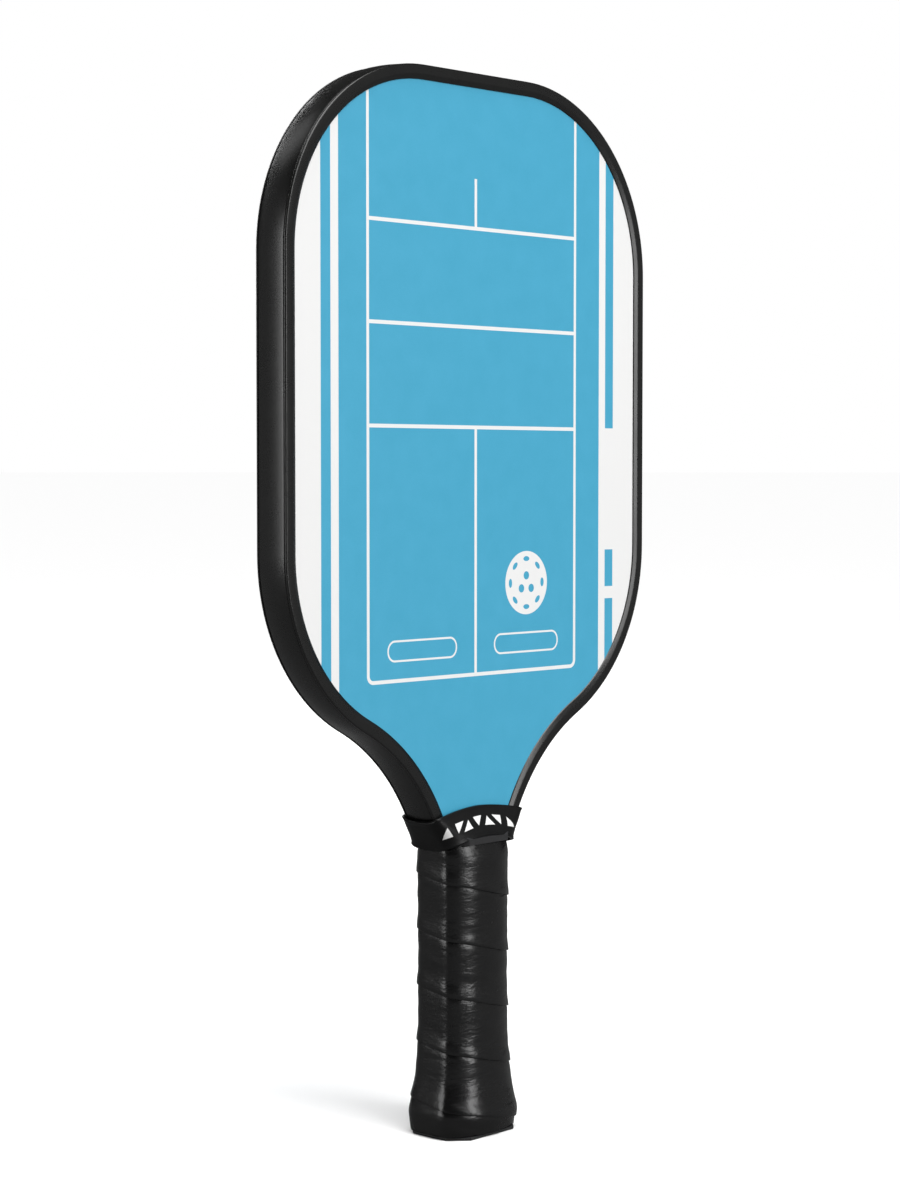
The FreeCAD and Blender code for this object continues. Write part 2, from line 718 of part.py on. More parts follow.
def make_handle():
    """The two halves, the pegs, the cap with its badge, and the staples that hold it."""
    halves = {
        FRONT: make_handle_half("handle_half_front", FRONT),
        BACK: make_handle_half("handle_half_back", BACK),
    }
    cap = make_butt_cap()
    staples = {FRONT: make_staple("front_staple", FRONT), BACK: make_staple("back_staple", BACK)}
    slots = [make_staple_slot("front_slot", FRONT), make_staple_slot("back_slot", BACK)]
    cut_by("handle_half_front", halves[FRONT], [staples[FRONT]])
    cut_by("handle_half_back", halves[BACK], [staples[BACK]])
    cut_by("butt_cap", cap, [*staples.values(), *slots])
    group = doc.addObject("Part::Compound", "cap_staples")
    group.Label = "cap_staples"
    group.Links = list(staples.values())
    make_pegs()
    make_badge()


# ---- what is wound and stretched over the handle ----


def make_grip_tape():
    """The wound grip as one sleeve, which flares over the cap."""
    body = new_body("grip_tape")
    inner = [
        FOOT, SWELL, SKIRT,
        ("Sizes.grip_blend_end", *HANDLE),
        ("Sizes.grip_end", *HANDLE),
    ]
    outer = [grown(section, "Sizes.tape_thickness") for section in inner]
    stack(body, "PartDesign::AdditiveLoft", "grip_outside", outer)
    stack(body, "PartDesign::SubtractiveLoft", "grip_inside", inner)


GRIP = grown(("Sizes.grip_end", *HANDLE), "Sizes.tape_thickness")


def make_finishing_tape():
    """The thin tape that binds the grip's upper end, hidden by the collar."""
    body = new_body("finishing_tape")
    inner = [
        at_height(GRIP, "Sizes.wrap_start"),
        at_height(GRIP, "Sizes.wrap_bend"),
        (
            "Sizes.wrap_end", "Sizes.wrap_end_half_width", "Sizes.wrap_end_half_depth",
            "Sizes.wrap_end_corner",
        ),
    ]
    outer = [grown(section, "Sizes.wrap_thickness") for section in inner]
    stack(body, "PartDesign::AdditiveLoft", "wrap_outside", outer)
    stack(body, "PartDesign::SubtractiveLoft", "wrap_inside", inner)


def make_collar():
    """The elastic band over the throat: snug on the grip below, on the guard above."""
    body = new_body("collar_band")
    snug = grown(at_height(GRIP, "Sizes.collar_start"), "Sizes.collar_slack")
    inner = [
        snug,
        grown(at_height(snug, "Sizes.collar_bend"), "Sizes.collar_slack"),
        (
            "Sizes.collar_waist", "Sizes.collar_waist_half_width",
            "Sizes.collar_waist_half_depth", "Sizes.collar_waist_corner",
        ),
        (
            "Sizes.collar_end", "Sizes.collar_end_half_width",
            "Sizes.collar_end_half_depth", "Sizes.collar_end_corner",
        ),
    ]
    outer = [grown(section, "Sizes.collar_wall") for section in inner]
    stack(body, "PartDesign::AdditiveLoft", "collar_outside", outer)
    stack(body, "PartDesign::SubtractiveLoft", "collar_inside", inner)


# ---- build, check and write ----

NODES = [
    "honeycomb_core",
    "front_core_scrim", "back_core_scrim",
    "front_skin", "back_skin",
    "front_graphic_film", "back_graphic_film",
    "edge_guard", "guard_bond_strip",
    "handle_half_front", "handle_half_back", "handle_pegs",
    "butt_cap", "butt_badge", "cap_staples",
    "grip_tape", "finishing_tape", "collar_band",
]


def check_document():
    """Stops if any object failed, or if a sub-part isn't whole."""
    for item in doc.Objects:
        if "Invalid" in item.State or "Error" in item.State:
            raise RuntimeError(f"{item.Label} failed: {item.State}")
    for name in NODES:
        shape = doc.getObjectsByLabel(name)[0].Shape
        if shape.isNull() or not shape.isValid() or not shape.Solids:
            raise RuntimeError(f"{name} has no valid solid")


def write_parts():
    """Writes one STEP file for each sub-part."""
    os.makedirs("parts", exist_ok=True)
    for name in NODES:
        shape = doc.getObjectsByLabel(name)[0].Shape
        shape.exportStep(f"parts/{name}.step")
        print(f"{name}: {len(shape.Solids)} solid(s), {shape.Volume / 1000:.2f} cm3")


make_panel()
make_edge_guard()
make_bond_strip()
make_handle()
make_grip_tape()
make_finishing_tape()
make_collar()
doc.recompute()
check_document()
write_parts()
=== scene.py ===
import math

import bmesh
import bpy
from mathutils import Matrix, Vector, noise


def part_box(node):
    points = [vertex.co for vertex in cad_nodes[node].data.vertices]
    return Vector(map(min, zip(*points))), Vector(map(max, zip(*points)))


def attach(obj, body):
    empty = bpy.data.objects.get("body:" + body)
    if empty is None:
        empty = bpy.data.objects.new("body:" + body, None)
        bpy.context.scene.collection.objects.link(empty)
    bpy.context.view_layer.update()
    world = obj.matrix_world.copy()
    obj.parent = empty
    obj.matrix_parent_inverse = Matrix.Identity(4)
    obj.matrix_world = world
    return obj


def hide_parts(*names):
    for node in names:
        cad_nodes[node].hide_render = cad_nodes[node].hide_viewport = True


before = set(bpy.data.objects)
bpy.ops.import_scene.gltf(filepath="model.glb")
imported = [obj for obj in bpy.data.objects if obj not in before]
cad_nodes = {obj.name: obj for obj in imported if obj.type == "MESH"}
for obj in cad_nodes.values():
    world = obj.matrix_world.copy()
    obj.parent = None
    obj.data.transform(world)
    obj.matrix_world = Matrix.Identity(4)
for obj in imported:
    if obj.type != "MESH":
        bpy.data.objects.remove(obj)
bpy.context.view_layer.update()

scene = bpy.context.scene
mm = 0.001


# ---- The honeycomb core ----
# A sheet of polypropylene cells, extruded and welded side by side, which runs down into the
# handle as the tongue. The sheet is milky and slightly waxy.


def add_node(tree, kind, feeds=(), **settings):
    """Adds a node, sets its properties, and feeds its inputs with values or other outputs."""
    node = tree.nodes.new(kind)
    for setting, value in settings.items():
        setattr(node, setting, value)
    pairs = feeds.items() if isinstance(feeds, dict) else enumerate(feeds)
    for key, value in pairs:
        if isinstance(value, bpy.types.NodeSocket):
            tree.links.new(value, node.inputs[key])
        else:
            node.inputs[key].default_value = value
    return node


def calculate(tree, operation, *values, clamp=False):
    """The output of one math node."""
    return add_node(tree, "ShaderNodeMath", values, operation=operation, use_clamp=clamp).outputs[0]


def mix_colours(tree, share, first, second):
    """A colour between two others."""
    feeds = {0: share, 6: first, 7: second}
    return add_node(tree, "ShaderNodeMix", feeds, data_type="RGBA").outputs[2]


def new_group(name, inputs, outputs):
    """An empty shader group with named sockets, and its two ends."""
    group = bpy.data.node_groups.new(name, "ShaderNodeTree")
    for label, kind in inputs.items():
        group.interface.new_socket(label, in_out="INPUT", socket_type=f"NodeSocket{kind}")
    for label, kind in outputs.items():
        group.interface.new_socket(label, in_out="OUTPUT", socket_type=f"NodeSocket{kind}")
    source = group.nodes.new("NodeGroupInput").outputs
    result = group.nodes.new("NodeGroupOutput").inputs
    return group, source, result


def make_grain():
    """Fine grain over broad mottling: it varies the colour, the gloss and the height."""
    broad_size, fine_share = 0.045, 0.55
    tree, given, result = new_group(
        "grain",
        {
            "Vector": "Vector", "Light": "Color", "Dark": "Color",
            "Roughness": "Float", "Spread": "Float", "Scale": "Float",
        },
        {"Color": "Color", "Roughness": "Float", "Height": "Float"},
    )
    fine = add_node(tree, "ShaderNodeTexNoise", {
        "Vector": given["Vector"], "Scale": given["Scale"], "Detail": 6.0, "Roughness": 0.6,
    }).outputs["Fac"]
    broad_scale = calculate(tree, "MULTIPLY", given["Scale"], broad_size)
    broad = add_node(tree, "ShaderNodeTexNoise", {
        "Vector": given["Vector"], "Scale": broad_scale, "Detail": 3.0,
    }).outputs["Fac"]
    broad_part = calculate(tree, "MULTIPLY", broad, 1 - fine_share)
    blend = calculate(tree, "MULTIPLY_ADD", fine, fine_share, broad_part)
    share = add_node(tree, "ShaderNodeMapRange", {0: blend, 1: 0.33, 2: 0.67}).outputs[0]
    tree.links.new(mix_colours(tree, share, given["Dark"], given["Light"]), result["Color"])
    change = calculate(tree, "MULTIPLY", calculate(tree, "SUBTRACT", blend, 0.5), given["Spread"])
    rough = calculate(tree, "ADD", given["Roughness"], change, clamp=True)
    tree.links.new(rough, result["Roughness"])
    tree.links.new(fine, result["Height"])
    return tree


grain = make_grain()


def new_material(name, fixed=()):
    """A material with its shader's own constant sockets set."""
    material = bpy.data.materials.new(name)
    material.use_nodes = True
    tree = material.node_tree
    shader = tree.nodes["Principled BSDF"]
    for socket, value in dict(fixed).items():
        shader.inputs[socket].default_value = value
    return material, tree, shader


def object_place(tree):
    """A point's place on its piece, in metres, and that place's X, Y and Z."""
    place = add_node(tree, "ShaderNodeTexCoord").outputs["Object"]
    return place, add_node(tree, "ShaderNodeSeparateXYZ", {0: place}).outputs


def add_grain(tree, vector, light, dark, roughness, spread, scale):
    """The grain with its own colours and gloss, scaled in grains a metre."""
    return add_node(tree, "ShaderNodeGroup", {
        "Vector": vector, "Light": (*light, 1), "Dark": (*dark, 1),
        "Roughness": roughness, "Spread": spread, "Scale": scale,
    }, node_tree=grain).outputs


def paint(tree, shader, colour, roughness):
    """Feeds the shader a colour and a roughness that change over the surface."""
    tree.links.new(colour, shader.inputs["Base Color"])
    tree.links.new(roughness, shader.inputs["Roughness"])


def raise_surface(tree, shader, height, depth):
    """Feeds a height, in metres at full depth, to the shader's normal."""
    bump = add_node(tree, "ShaderNodeBump", {"Strength": 1.0, "Distance": depth, "Height": height})
    tree.links.new(bump.outputs["Normal"], shader.inputs["Normal"])


def grained(name, light, dark, roughness, spread, scale, depth, stretch=(1, 1, 1), fixed=()):
    """A material whose colour, gloss and relief all follow the grain."""
    material, tree, shader = new_material(name, fixed)
    place = add_node(tree, "ShaderNodeTexCoord").outputs["Object"]
    vector = add_node(tree, "ShaderNodeMapping", {"Vector": place, "Scale": stretch}).outputs[0]
    surface = add_grain(tree, vector, light, dark, roughness, spread, scale)
    paint(tree, shader, surface["Color"], surface["Roughness"])
    raise_surface(tree, shader, surface["Height"], depth)
    return material


def dress(material, *names):
    """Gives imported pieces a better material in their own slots."""
    for name in names:
        for slot in cad_nodes[name].material_slots:
            slot.material = material


milky_plastic = grained(
    "milky_plastic", (0.86, 0.86, 0.82), (0.66, 0.67, 0.63),
    roughness=0.46, spread=0.2, scale=700, depth=0.06 * mm,
    fixed={"Subsurface Weight": 0.15, "Subsurface Radius": (0.004, 0.004, 0.004)},
)
dress(milky_plastic, "honeycomb_core")


# ---- The scrims and the skins ----
# A non-woven scrim is melted into each face of the honeycomb, and a skin of woven glass fibre in
# clear resin is bonded over it. Both are cut to the core's outline, tongue and all.

fibre_pitch = 1.6 * mm


def make_glass_cloth():
    """Plain-woven glass cloth under resin: over-and-under tows along X and along Z."""
    resin = {"Coat Weight": 0.6, "Coat Roughness": 0.12}
    material, tree, shader = new_material("glass_cloth", resin)
    axes = object_place(tree)[1]
    turn = math.tau / fibre_pitch
    across = calculate(tree, "SINE", calculate(tree, "MULTIPLY", axes["X"], turn))
    along = calculate(tree, "SINE", calculate(tree, "MULTIPLY", axes["Z"], turn))
    weave = calculate(tree, "MULTIPLY_ADD", calculate(tree, "MULTIPLY", across, along), 0.5, 0.5)
    tint = mix_colours(tree, weave, (0.46, 0.5, 0.40, 1), (0.70, 0.73, 0.62, 1))
    paint(tree, shader, tint, calculate(tree, "MULTIPLY_ADD", weave, 0.18, 0.28))
    raise_surface(tree, shader, weave, 0.05 * mm)
    return material


dress(make_glass_cloth(), "front_skin", "back_skin")
scrim_felt = grained(
    "scrim_felt", (0.88, 0.88, 0.85), (0.62, 0.62, 0.6),
    roughness=0.9, spread=0.1, scale=1800, depth=0.08 * mm,
    stretch=(1, 1, 0.25),
)
dress(scrim_felt, "front_core_scrim", "back_core_scrim")


# ---- The printed films ----
# A satin film carries each face's print: a light blue field with a court's lines, white panels
# with a blue stripe down each side, two empty capsules and a holed ball. The film is a flat sheet
# that runs out under the guard's lips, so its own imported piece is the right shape.

court_half_width = 58.8 * mm
court_lines = (347.5 * mm, 310 * mm, 272 * mm)
court_bottom = 177.4 * mm
court_corner = 2.6 * mm
court_line = 1.4 * mm
court_ceiling = 500 * mm
centre_tick = (347.5 * mm, 366.3 * mm)
side_panel = 73.9 * mm
side_stripe = 80.4 * mm
side_stripe_half = 2.5 * mm
stripe_gap = (203.8 * mm, 272.6 * mm)
stripe_block = (208.7 * mm, 223.6 * mm)
capsule_place = (29.6 * mm, 188.45 * mm)
capsule_half = (18.7 * mm, 3.7 * mm)
capsule_corner = 3.6 * mm
capsule_line = 0.74 * mm
ball_place = (29.6 * mm, 211.7 * mm)
ball_radius = 12.4 * mm
ball_rim_holes = 8
ink_edge = 0.06 * mm


def box_distance(tree, x, z, centre, half, corner=0.0):
    """How far a point lies outside a box with rounded corners."""
    gaps = []
    for axis, middle, reach in zip((x, z), centre, half):
        away = calculate(tree, "ABSOLUTE", calculate(tree, "SUBTRACT", axis, middle))
        gaps.append(calculate(tree, "SUBTRACT", away, reach - corner))
    outside = [calculate(tree, "MAXIMUM", gap, 0.0) for gap in gaps]
    squares = [calculate(tree, "MULTIPLY", gap, gap) for gap in outside]
    length = calculate(tree, "SQRT", calculate(tree, "ADD", *squares))
    inside = calculate(tree, "MINIMUM", calculate(tree, "MAXIMUM", *gaps), 0.0)
    return calculate(tree, "SUBTRACT", calculate(tree, "ADD", length, inside), corner)


def stroke(tree, distance, width):
    """The band of a width that runs along a shape's edge."""
    return calculate(tree, "SUBTRACT", calculate(tree, "ABSOLUTE", distance), width / 2)


def join_shapes(tree, *distances):
    """All of several shapes."""
    whole = distances[0]
    for distance in distances[1:]:
        whole = calculate(tree, "MINIMUM", whole, distance)
    return whole


def cut_shape(tree, distance, hole):
    """A shape less another."""
    return calculate(tree, "MAXIMUM", distance, calculate(tree, "MULTIPLY", hole, -1.0))


def bar(tree, x, z, low, high):
    """A plain box from its lowest to its highest corner."""
    centre = [(a + b) / 2 for a, b in zip(low, high)]
    half = [(b - a) / 2 for a, b in zip(low, high)]
    return box_distance(tree, x, z, centre, half)


def holed_ball(tree, x, z):
    """A disc with eight holes seen aslant round its rim and three in its middle."""
    across = calculate(tree, "DIVIDE", calculate(tree, "SUBTRACT", x, ball_place[0]), ball_radius)
    up = calculate(tree, "DIVIDE", calculate(tree, "SUBTRACT", z, ball_place[1]), ball_radius)

    def disc(centre, radius):
        squares = []
        for axis, middle in zip((across, up), centre):
            gap = calculate(tree, "SUBTRACT", axis, middle)
            squares.append(calculate(tree, "MULTIPLY", gap, gap))
        length = calculate(tree, "SQRT", calculate(tree, "ADD", *squares))
        return calculate(tree, "SUBTRACT", length, radius)

    rim_reach, rim_deep, rim_wide = 0.76, 0.078, 0.142
    slice_angle = math.tau / ball_rim_holes
    bearing = calculate(tree, "ARCTAN2", up, across)
    shifted = calculate(tree, "ADD", bearing, slice_angle / 2 + math.tau)
    turned = calculate(tree, "MODULO", shifted, slice_angle)
    local = calculate(tree, "SUBTRACT", turned, slice_angle / 2)
    outwards = calculate(tree, "ADD", disc((0, 0), 0), -rim_reach)
    round_rim = calculate(tree, "MULTIPLY", local, rim_reach / rim_wide)
    radial = calculate(tree, "DIVIDE", outwards, rim_deep)
    squares = [calculate(tree, "MULTIPLY", part, part) for part in (round_rim, radial)]
    oval = calculate(tree, "SQRT", calculate(tree, "ADD", *squares))
    rim_holes = calculate(tree, "MULTIPLY", calculate(tree, "SUBTRACT", oval, 1.0), rim_deep)
    middle_reach, middle_radius, middle_drop = 0.27, 0.131, 0.04
    middle_holes = []
    for third in range(3):
        turn = math.tau * third / 3
        place = (middle_reach * math.sin(turn), middle_reach * math.cos(turn) - middle_drop)
        middle_holes.append(disc(place, middle_radius))
    ball = cut_shape(tree, disc((0, 0), 1.0), join_shapes(tree, rim_holes, *middle_holes))
    return calculate(tree, "MULTIPLY", ball, ball_radius)


def make_court_print():
    """Where the white ink lies, from 0 to 1, given the place across and up a face."""
    place = {"X": "Float", "Z": "Float"}
    tree, given, result = new_group("court_print", place, {"White": "Float"})
    x, z = given["X"], given["Z"]
    mirrored = calculate(tree, "ABSOLUTE", x)
    half_line = court_line / 2

    middle = (court_bottom + court_ceiling) / 2
    frame_half = (court_half_width, (court_ceiling - court_bottom) / 2)
    frame_box = box_distance(tree, x, z, (0, middle), frame_half, court_corner)
    shapes = [stroke(tree, frame_box, court_line)]
    for height in court_lines:
        left, right = -court_half_width, court_half_width
        shapes.append(bar(tree, x, z, (left, height - half_line), (right, height + half_line)))
    for foot, head in ((court_bottom, court_lines[-1]), centre_tick):
        shapes.append(bar(tree, x, z, (-half_line, foot), (half_line, head)))

    capsule = box_distance(tree, mirrored, z, capsule_place, capsule_half, capsule_corner)
    shapes.append(stroke(tree, capsule, capsule_line))
    shapes.append(holed_ball(tree, x, z))

    panel = calculate(tree, "SUBTRACT", side_panel, mirrored)
    low_x, high_x = side_stripe - side_stripe_half, side_stripe + side_stripe_half
    stripe = bar(tree, mirrored, z, (low_x, 0), (high_x, court_ceiling))
    gap = bar(tree, x, z, (low_x - ink_edge, stripe_gap[0]), (high_x + ink_edge, stripe_gap[1]))
    block = bar(tree, x, z, (low_x, stripe_block[0]), (high_x, stripe_block[1]))
    shapes.append(cut_shape(tree, panel, cut_shape(tree, stripe, cut_shape(tree, gap, block))))

    ink = join_shapes(tree, *shapes)
    white = add_node(tree, "ShaderNodeMapRange", {0: ink, 1: ink_edge / 2, 2: -ink_edge / 2})
    tree.links.new(white.outputs[0], result["White"])
    return tree


court_print = make_court_print()
ink_blue = (0.064, 0.398, 0.605)
ink_blue_faded = (0.053, 0.368, 0.563)
ink_white = (0.86, 0.86, 0.855)
ink_rise = 0.35


def make_printed_film(name, side):
    """The film of one face: side is 1 where X runs to the right, and -1 on the back."""
    material, tree, shader = new_material(name, {"Coat Weight": 0.12, "Coat Roughness": 0.32})
    place, axes = object_place(tree)
    across = calculate(tree, "MULTIPLY", axes["X"], side)
    feeds = {"X": across, "Z": axes["Z"]}
    white = add_node(tree, "ShaderNodeGroup", feeds, node_tree=court_print).outputs["White"]
    surface = add_grain(
        tree, place, ink_blue, ink_blue_faded, roughness=0.42, spread=0.12, scale=2600,
    )
    colour = mix_colours(tree, white, surface["Color"], (*ink_white, 1))
    paint(tree, shader, colour, surface["Roughness"])
    raised = calculate(tree, "MULTIPLY_ADD", white, ink_rise, surface["Height"])
    raise_surface(tree, shader, raised, 0.02 * mm)
    return material


dress(make_printed_film("front_print", 1), "front_graphic_film")
dress(make_printed_film("back_print", -1), "back_graphic_film")


# ---- The edge guard ----
# A black thermoplastic channel, moulded in one piece and sprung over the panel's edge. Its wall
# swells slightly, a fine groove runs beside each corner, and a lip lies on each face.

guard_low, guard_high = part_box("edge_guard")
guard_top, guard_end = guard_high.z, guard_low.z
guard_half_width, guard_half_depth = guard_high.x, guard_high.y
shoulder_radius = 72.3 * mm
cheek_radius = 75.0 * mm
cheek_height = 225.3 * mm
neck_radius = 82.0 * mm
neck_height = 85.0 * mm
lip_width = 5.7 * mm
lip_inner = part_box("back_graphic_film")[1].y
web = 1.4 * mm
lip_gap = 0.04 * mm
lip_slope_run, lip_slope_fall = 1.9 * mm, 0.74 * mm
lip_tuck = 0.2 * mm
wall_swell = 0.5 * mm
wall_steps = (0.1, 0.3, 0.5, 0.68, 0.86)
groove_place = 1.05 * mm
groove_width = 0.32 * mm
groove_depth = 0.34 * mm
groove_edge = 0.12 * mm
groove_root = 0.08 * mm
weld = 0.001 * mm


def rounded_outline(corners, segments=4):
    """Points of a closed outline whose corners, each given with a radius, are turned into arcs."""
    points = []
    for index, (x, y, radius) in enumerate(corners):
        here = Vector((x, y))
        if radius == 0:
            points.append(here)
            continue
        before = (Vector(corners[index - 1][:2]) - here).normalized()
        after = (Vector(corners[(index + 1) % len(corners)][:2]) - here).normalized()
        half = before.angle(after) / 2
        centre = here + (before + after).normalized() * radius / math.sin(half)
        start = here + before * radius / math.tan(half) - centre
        sweep = start.angle_signed(here + after * radius / math.tan(half) - centre)
        for step in range(segments + 1):
            turn = Matrix.Rotation(-sweep * step / segments, 2)
            points.append(centre + turn @ start)
    return points


def guard_section():
    """Half of the channel's section, as corners of (inset, across, radius), then both halves."""
    depth = guard_half_depth
    groove = depth - groove_place
    wall_edge = groove - groove_width
    half = [(wall_swell * share**2, wall_edge * share, 0) for share in wall_steps]
    half += [
        (wall_swell, wall_edge, groove_edge),
        (wall_swell + groove_depth, groove - groove_width * 0.6, groove_root),
        (wall_swell + groove_depth, groove, groove_root),
        (wall_swell * 0.7, groove + groove_width * 0.3, groove_edge),
        (wall_swell * 0.7, depth, 0.6 * mm),
        (lip_width - lip_slope_run, depth - 0.02 * mm, 2.4 * mm),
        (lip_width - 0.05 * mm, depth - lip_slope_fall, 0.35 * mm),
        (lip_width + lip_tuck, lip_inner + lip_gap, 0),
        (web, lip_inner + lip_gap, 0),
    ]
    other = [(inset, -across, radius) for inset, across, radius in reversed(half)]
    return rounded_outline(half + other)


def drag(shape, edges, shift):
    """Draws a section's edges along a straight run."""
    grown = bmesh.ops.extrude_edge_only(shape, edges=edges)["geom"]
    ends = [part for part in grown if isinstance(part, bmesh.types.BMVert)]
    bmesh.ops.translate(shape, vec=shift, verts=ends)
    return [
        part for part in grown
        if isinstance(part, bmesh.types.BMEdge) and all(end in ends for end in part.verts)
    ]


def swing(shape, edges, centre, angle, steps):
    """Turns a section's edges about a line across the paddle."""
    grown = bmesh.ops.spin(
        shape, geom=edges, cent=centre, axis=(0, 1, 0), angle=angle, steps=steps, use_merge=False,
    )["geom_last"]
    return [part for part in grown if isinstance(part, bmesh.types.BMEdge)]


def place_piece(shape, name, material, sharp=38):
    """Finishes a mesh as a smooth piece that rides on the paddle."""
    mesh = bpy.data.meshes.new(name)
    shape.to_mesh(mesh)
    shape.free()
    mesh.shade_smooth()
    mesh.set_sharp_from_angle(angle=math.radians(sharp))
    mesh.materials.append(material)
    piece = bpy.data.objects.new(name, mesh)
    scene.collection.objects.link(piece)
    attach(piece, "root")
    return piece


def build_guard():
    """Draws the section round one half of the outline, from the top's middle, and mirrors it."""
    shape = bmesh.new()
    ring = [shape.verts.new((0, across, guard_top - inset)) for inset, across in guard_section()]
    edges = [shape.edges.new(pair) for pair in zip(ring, ring[1:] + ring[:1])]
    shoulder_x = guard_half_width - shoulder_radius
    cheek_x = guard_half_width - cheek_radius
    rise = cheek_height - neck_height
    reach = math.sqrt((cheek_radius + neck_radius) ** 2 - rise**2)
    neck_x = cheek_x + reach
    cheek_turn = math.atan2(rise, reach)
    neck_turn = cheek_turn - math.asin((guard_end - neck_height) / neck_radius)
    shoulder_z = guard_top - shoulder_radius

    edges = drag(shape, edges, (shoulder_x, 0, 0))
    edges = swing(shape, edges, (shoulder_x, 0, shoulder_z), math.pi / 2, 36)
    edges = drag(shape, edges, (0, 0, cheek_height - shoulder_z))
    edges = swing(shape, edges, (cheek_x, 0, cheek_height), cheek_turn, 26)
    swing(shape, edges, (neck_x, 0, neck_height), -neck_turn, 16)

    whole = shape.verts[:] + shape.edges[:] + shape.faces[:]
    bmesh.ops.mirror(shape, geom=whole, merge_dist=weld, axis="X")
    bmesh.ops.remove_doubles(shape, verts=shape.verts, dist=weld)
    bmesh.ops.holes_fill(shape, edges=[edge for edge in shape.edges if edge.is_boundary])
    bmesh.ops.recalc_face_normals(shape, faces=shape.faces)
    return shape


guard_plastic = grained(
    "guard_plastic", (0.0048, 0.0050, 0.0048), (0.0030, 0.0031, 0.0030),
    roughness=0.28, spread=0.12, scale=2200, depth=0.012 * mm,
)
guard = place_piece(build_guard(), "moulded_guard", guard_plastic)
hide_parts("edge_guard")


# ---- The bond strip, the wood and the staples ----
# Pieces that the guard and the grip hide: the double-sided strip, the two wooden handle halves
# with their pegs, the zinc-plated staples and the vinyl finishing tape.

bond_tape = grained(
    "bond_tape", (0.78, 0.77, 0.72), (0.62, 0.61, 0.57),
    roughness=0.7, spread=0.15, scale=1500, depth=0.05 * mm,
)
dress(bond_tape, "guard_bond_strip")
planed_wood = grained(
    "planed_wood", (0.60, 0.43, 0.25), (0.40, 0.26, 0.13),
    roughness=0.62, spread=0.25, scale=420, depth=0.08 * mm,
    stretch=(1, 1, 0.05),
)
dress(planed_wood, "handle_half_front", "handle_half_back")
peg_wood = grained(
    "peg_wood", (0.50, 0.33, 0.18), (0.33, 0.20, 0.10),
    roughness=0.6, spread=0.25, scale=700, depth=0.06 * mm,
    stretch=(1, 0.06, 1),
)
dress(peg_wood, "handle_pegs")
staple_wire = grained(
    "staple_wire", (0.62, 0.63, 0.65), (0.45, 0.46, 0.48),
    roughness=0.34, spread=0.2, scale=3000, depth=0.01 * mm,
    fixed={"Metallic": 1.0},
)
dress(staple_wire, "cap_staples")
vinyl_tape = grained(
    "vinyl_tape", (0.025, 0.025, 0.026), (0.016, 0.016, 0.017),
    roughness=0.35, spread=0.12, scale=1600, depth=0.02 * mm,
)
dress(vinyl_tape, "finishing_tape")


# ---- The grip tape ----
# A strip of cushioned synthetic leather, wound up the handle from the butt. Each turn laps over
# the one below it, so its lower edge stands proud as a soft step, and the tape follows the
# handle's flats and the swell of the cap.

grip_half = (17.3 * mm, 13.3 * mm)
grip_corner = 5.3 * mm
face_softness, side_softness = 8, 20
taper_start, taper_end = 107 * mm, 119 * mm
taper_depth = 2.6 * mm
face_crown = 0.5 * mm
swell_heights = (0.0, 8.5 * mm, 13 * mm, 20 * mm, 28 * mm, 40 * mm, 85 * mm, 120 * mm)
swell_growths = (2.5 * mm, 3.6 * mm, 2.7 * mm, 1.45 * mm, 0.65 * mm, 0.0, 0.0, 0.45 * mm)
swell_corner_share = 0.586
tape_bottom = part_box("grip_tape")[0].z + 0.1 * mm
tape_top = 118 * mm
tape_pitch = 21.7 * mm
tape_width = 25.5 * mm
tape_thickness = 0.75 * mm
lap_height = 0.55 * mm
lap_run = 7.0 * mm
tuck_depth = 0.45 * mm
tuck_run = 2.0 * mm
edge_radius = 0.32 * mm
front_seam = 72.4 * mm
front_bearing = 1.5 * math.pi
steps_a_turn = 150
spread_rows = 17
spare_turn = 0.15
crease_depth = 0.2 * mm
ripple_scale = Vector((70, 70, 210))
fold_scale = Vector((160, 160, 420))
fold_start = Vector((0, 0, 9))
fold_share = 0.45
pebbles_a_metre = 1500
stretch_lines_a_metre = 130
stretch_draw = 3.2
stretch_weight = 8.0


def smooth(share):
    """An even ease from 0 to 1."""
    share = min(max(share, 0.0), 1.0)
    return share * share * (3 - 2 * share)


def flat_sided(bearing, half_width, half_depth, corner, softness):
    """How far an octagon reaches in a direction: its cut corners run softly into its faces."""
    c, s = abs(math.cos(bearing)), abs(math.sin(bearing))
    slope = half_width + half_depth - corner
    face = (s / half_depth) ** softness + ((c + s) / slope) ** softness
    nearness = (c / half_width) ** side_softness + face ** (side_softness / softness)
    return nearness ** (-1 / side_softness)


def swell_slope(level):
    """How fast the handle grows with height at a level, from the levels on either side."""
    below, above = max(level - 1, 0), min(level + 1, len(swell_heights) - 1)
    rise = swell_growths[above] - swell_growths[below]
    return rise / (swell_heights[above] - swell_heights[below])


def handle_growth(z):
    """How much the handle's half sizes grow at a height: a smooth curve through the levels."""
    z = min(max(z, swell_heights[0]), swell_heights[-1])
    level = next(below for below, top in enumerate(swell_heights[1:]) if z <= top)
    low_z, high_z = swell_heights[level:level + 2]
    start, end = swell_growths[level:level + 2]
    run = high_z - low_z
    share = (z - low_z) / run
    straight = start + (end - start) * share
    leaving = (swell_slope(level) * run - (end - start)) * (1 - share)
    arriving = (swell_slope(level + 1) * run - (end - start)) * share
    return straight + share * (1 - share) * (leaving - arriving)


def lap(across):
    """The tape's height over its bed at a distance up from its lower edge."""
    if across < edge_radius:
        return lap_height - edge_radius + math.sqrt(edge_radius**2 - (edge_radius - across) ** 2)
    tucked = smooth((across - tape_pitch) / tuck_run + 0.5)
    return lap_height * (1 - smooth(across / lap_run)) - tuck_depth * tucked


